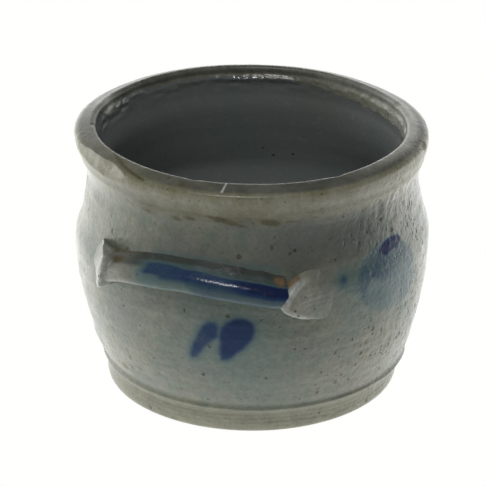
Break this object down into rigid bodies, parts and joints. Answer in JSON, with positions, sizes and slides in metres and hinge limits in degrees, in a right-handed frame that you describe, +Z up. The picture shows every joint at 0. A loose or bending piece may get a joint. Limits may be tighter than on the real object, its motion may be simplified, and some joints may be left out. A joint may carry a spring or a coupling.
{
  "type": "stoneware crock",
  "caption": "Open salt-glazed stoneware crock with a rolled collar rim, stepped foot and applied clay lug handles, for fermenting or storing food under a separate cover.",
  "frame": {"origin": "centre of the foot's flat underside", "axes": "+Z up out of the mouth, along the axis the pot was thrown on; -Y towards the middle of the front handle; +X to the right when facing the front handle"},
  "size_m": [0.202, 0.2192, 0.154],
  "materials": {
    "salt_glazed_stoneware": "salt glaze with a fine orange-peel texture, grey with a blue-green cast, olive at the rim and foot",
    "cobalt_brushed_coil": "salt glaze over brushed cobalt blue that thins to teal and grey at the edges",
    "thumbed_pad": "salt glaze, beige grey, with thumb marks and worn edges"
  },
  "bodies": {
    "root": {"crock_body": "salt_glazed_stoneware", "front_handle_coil": "cobalt_brushed_coil", "front_handle_left_pad": "thumbed_pad", "front_handle_right_pad": "thumbed_pad", "rear_handle_coil": "cobalt_brushed_coil", "rear_handle_left_pad": "thumbed_pad", "rear_handle_right_pad": "thumbed_pad"}
  },
  "joints": []
}
